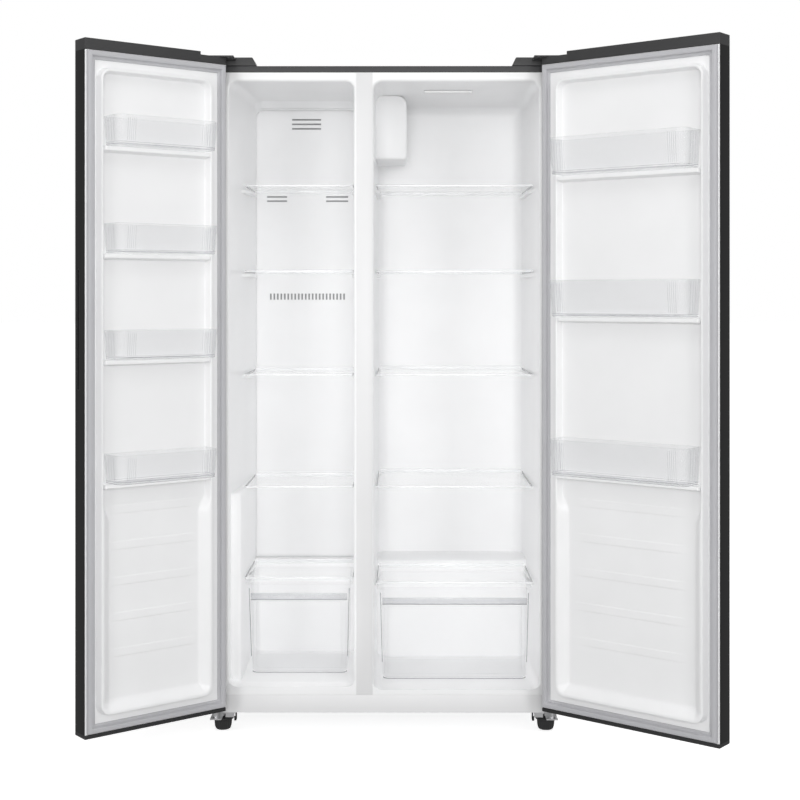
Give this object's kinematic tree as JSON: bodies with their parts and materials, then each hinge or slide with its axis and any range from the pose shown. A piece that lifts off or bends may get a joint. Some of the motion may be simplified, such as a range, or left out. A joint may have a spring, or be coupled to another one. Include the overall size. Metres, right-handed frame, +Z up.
{
  "type": "side by side refrigerator",
  "caption": "Free-standing side by side refrigerator and freezer, dark doors standing open on clear door bins, white liners, glass shelves and clear drawers.",
  "frame": {"origin": "on the floor, in the middle of the box around the whole refrigerator with its doors standing open", "axes": "+X to the right seen from the front, +Y to the back, +Z up"},
  "size_m": [1.5964, 0.9672, 1.786],
  "materials": {
    "black_paint": "satin black coated steel",
    "grey_paint": "satin dark grey coated steel",
    "dark_cap": "fine grained dark grey",
    "compressor_black": "black coated",
    "white_paint": "satin white coated steel",
    "liner_white": "vacuum formed, soft gloss",
    "cover_white": "moulded, soft gloss",
    "seal_grey": "matt, ribbed",
    "clear_glass": "clear, with clear edge trims",
    "clear_plastic": "clear, moulded",
    "black_plastic": "matt black",
    "dark_plastic": "matt dark grey",
    "zinc_steel": "zinc plated",
    "galvanised": "galvanised sheet",
    "aluminium": "bare",
    "foam": "rigid insulating foam, not seen",
    "lamp_white": "frosted"
  },
  "bodies": {
    "cabinet": {"cabinet_shell": "grey_paint", "back_panel": "galvanised", "base_pan": "galvanised", "cabinet_foam": "foam", "freezer_liner": "liner_white", "fridge_liner": "liner_white", "kick_plate": "white_paint", "mullion_cover": "white_paint", "duct_cover": "cover_white", "evaporator": "aluminium", "evaporator_fan_motor": "dark_plastic", "compressor": "compressor_black", "condenser": "black_paint", "machine_cover": "galvanised", "damper_housing": "cover_white", "lamp_lens": "lamp_white", "top_hinge_left": "zinc_steel", "top_hinge_right": "zinc_steel", "hinge_cover_left": "black_plastic", "hinge_cover_right": "black_plastic", "bottom_hinge_left": "zinc_steel", "bottom_hinge_right": "zinc_steel"},
    "freezer_door": {"freezer_door_skin": "black_paint", "freezer_door_top_cap": "dark_cap", "freezer_door_bottom_cap": "black_plastic", "freezer_door_liner": "liner_white", "freezer_door_foam": "foam", "freezer_door_gasket": "seal_grey", "freezer_door_grip": "black_plastic"},
    "freezer_bin_1": {"freezer_bin_1": "clear_plastic"},
    "freezer_bin_2": {"freezer_bin_2": "clear_plastic"},
    "freezer_bin_3": {"freezer_bin_3": "clear_plastic"},
    "freezer_bin_4": {"freezer_bin_4": "clear_plastic"},
    "fridge_door": {"fridge_door_skin": "black_paint", "fridge_door_top_cap": "dark_cap", "fridge_door_bottom_cap": "black_plastic", "fridge_door_liner": "liner_white", "fridge_door_foam": "foam", "fridge_door_gasket": "seal_grey"},
    "fridge_bin_1": {"fridge_bin_1": "clear_plastic"},
    "fridge_bin_2": {"fridge_bin_2": "clear_plastic"},
    "fridge_bin_3": {"fridge_bin_3": "clear_plastic"},
    "freezer_shelf_1": {"freezer_shelf_1": "clear_glass"},
    "freezer_shelf_2": {"freezer_shelf_2": "clear_glass"},
    "freezer_shelf_3": {"freezer_shelf_3": "clear_glass"},
    "freezer_shelf_4": {"freezer_shelf_4": "clear_glass"},
    "freezer_drawer_cover": {"freezer_drawer_cover": "clear_glass"},
    "freezer_drawer": {"freezer_drawer": "clear_plastic"},
    "fridge_shelf_1": {"fridge_shelf_1": "clear_glass"},
    "fridge_shelf_2": {"fridge_shelf_2": "clear_glass"},
    "fridge_shelf_3": {"fridge_shelf_3": "clear_glass"},
    "fridge_shelf_4": {"fridge_shelf_4": "clear_glass"},
    "fridge_drawer_cover": {"fridge_drawer_cover": "clear_glass"},
    "fridge_drawer": {"fridge_drawer": "clear_plastic"},
    "evaporator_fan": {"evaporator_fan": "black_plastic"},
    "front_foot_left": {"front_foot_left": "black_plastic"},
    "rear_roller_left": {"rear_roller_left": "dark_plastic"},
    "front_foot_right": {"front_foot_right": "black_plastic"},
    "rear_roller_right": {"rear_roller_right": "dark_plastic"}
  },
  "joints": [
    {"name": "freezer_door_hinge", "type": "hinge", "parent": "cabinet", "child": "freezer_door", "pos_m": [-0.4807, -0.1303, 0.93], "axis": [0, 0, -1], "range_deg": [-141.5, 3.5]},
    {"name": "freezer_bin_1_lift", "type": "slide", "parent": "freezer_door", "child": "freezer_bin_1", "axis": [0, 0, 1], "range_m": [0, 0.06]},
    {"name": "freezer_bin_2_lift", "type": "slide", "parent": "freezer_door", "child": "freezer_bin_2", "axis": [0, 0, 1], "range_m": [0, 0.06]},
    {"name": "freezer_bin_3_lift", "type": "slide", "parent": "freezer_door", "child": "freezer_bin_3", "axis": [0, 0, 1], "range_m": [0, 0.06]},
    {"name": "freezer_bin_4_lift", "type": "slide", "parent": "freezer_door", "child": "freezer_bin_4", "axis": [0, 0, 1], "range_m": [0, 0.06]},
    {"name": "fridge_door_hinge", "type": "hinge", "parent": "cabinet", "child": "fridge_door", "pos_m": [0.3993, -0.1303, 0.93], "axis": [0, 0, 1], "range_deg": [-141.5, 3.5]},
    {"name": "fridge_bin_1_lift", "type": "slide", "parent": "fridge_door", "child": "fridge_bin_1", "axis": [0, 0, 1], "range_m": [0, 0.06]},
    {"name": "fridge_bin_2_lift", "type": "slide", "parent": "fridge_door", "child": "fridge_bin_2", "axis": [0, 0, 1], "range_m": [0, 0.06]},
    {"name": "fridge_bin_3_lift", "type": "slide", "parent": "fridge_door", "child": "fridge_bin_3", "axis": [0, 0, 1], "range_m": [0, 0.06]},
    {"name": "freezer_shelf_1_slide", "type": "slide", "parent": "cabinet", "child": "freezer_shelf_1", "axis": [0, -1, 0], "range_m": [0, 0.22]},
    {"name": "freezer_shelf_2_slide", "type": "slide", "parent": "cabinet", "child": "freezer_shelf_2", "axis": [0, -1, 0], "range_m": [0, 0.22]},
    {"name": "freezer_shelf_3_slide", "type": "slide", "parent": "cabinet", "child": "freezer_shelf_3", "axis": [0, -1, 0], "range_m": [0, 0.22]},
    {"name": "freezer_shelf_4_slide", "type": "slide", "parent": "cabinet", "child": "freezer_shelf_4", "axis": [0, -1, 0], "range_m": [0, 0.22]},
    {"name": "freezer_drawer_cover_slide", "type": "slide", "parent": "cabinet", "child": "freezer_drawer_cover", "axis": [0, -1, 0], "range_m": [0, 0.2]},
    {"name": "freezer_drawer_slide", "type": "slide", "parent": "cabinet", "child": "freezer_drawer", "axis": [0, -1, 0], "range_m": [0, 0.26]},
    {"name": "fridge_shelf_1_slide", "type": "slide", "parent": "cabinet", "child": "fridge_shelf_1", "axis": [0, -1, 0], "range_m": [0, 0.3]},
    {"name": "fridge_shelf_2_slide", "type": "slide", "parent": "cabinet", "child": "fridge_shelf_2", "axis": [0, -1, 0], "range_m": [0, 0.3]},
    {"name": "fridge_shelf_3_slide", "type": "slide", "parent": "cabinet", "child": "fridge_shelf_3", "axis": [0, -1, 0], "range_m": [0, 0.3]},
    {"name": "fridge_shelf_4_slide", "type": "slide", "parent": "cabinet", "child": "fridge_shelf_4", "axis": [0, -1, 0], "range_m": [0, 0.3]},
    {"name": "fridge_drawer_cover_slide", "type": "slide", "parent": "cabinet", "child": "fridge_drawer_cover", "axis": [0, -1, 0], "range_m": [0, 0.2]},
    {"name": "fridge_drawer_slide", "type": "slide", "parent": "cabinet", "child": "fridge_drawer", "axis": [0, -1, 0], "range_m": [0, 0.26]},
    {"name": "evaporator_fan_spin", "type": "hinge", "parent": "cabinet", "child": "evaporator_fan", "pos_m": [-0.2727, 0.3667, 1.06], "axis": [0, 1, 0], "continuous": true},
    {"name": "front_foot_left_screw", "type": "hinge", "parent": "cabinet", "child": "front_foot_left", "pos_m": [-0.4717, -0.0413, 0.03], "axis": [0, 0, 1], "continuous": true},
    {"name": "rear_roller_left_roll", "type": "hinge", "parent": "cabinet", "child": "rear_roller_left", "pos_m": [-0.4407, 0.4437, 0.024], "axis": [1, 0, 0], "continuous": true},
    {"name": "front_foot_right_screw", "type": "hinge", "parent": "cabinet", "child": "front_foot_right", "pos_m": [0.3903, -0.0413, 0.03], "axis": [0, 0, 1], "continuous": true},
    {"name": "rear_roller_right_roll", "type": "hinge", "parent": "cabinet", "child": "rear_roller_right", "pos_m": [0.3593, 0.4437, 0.024], "axis": [1, 0, 0], "continuous": true}
  ]
}
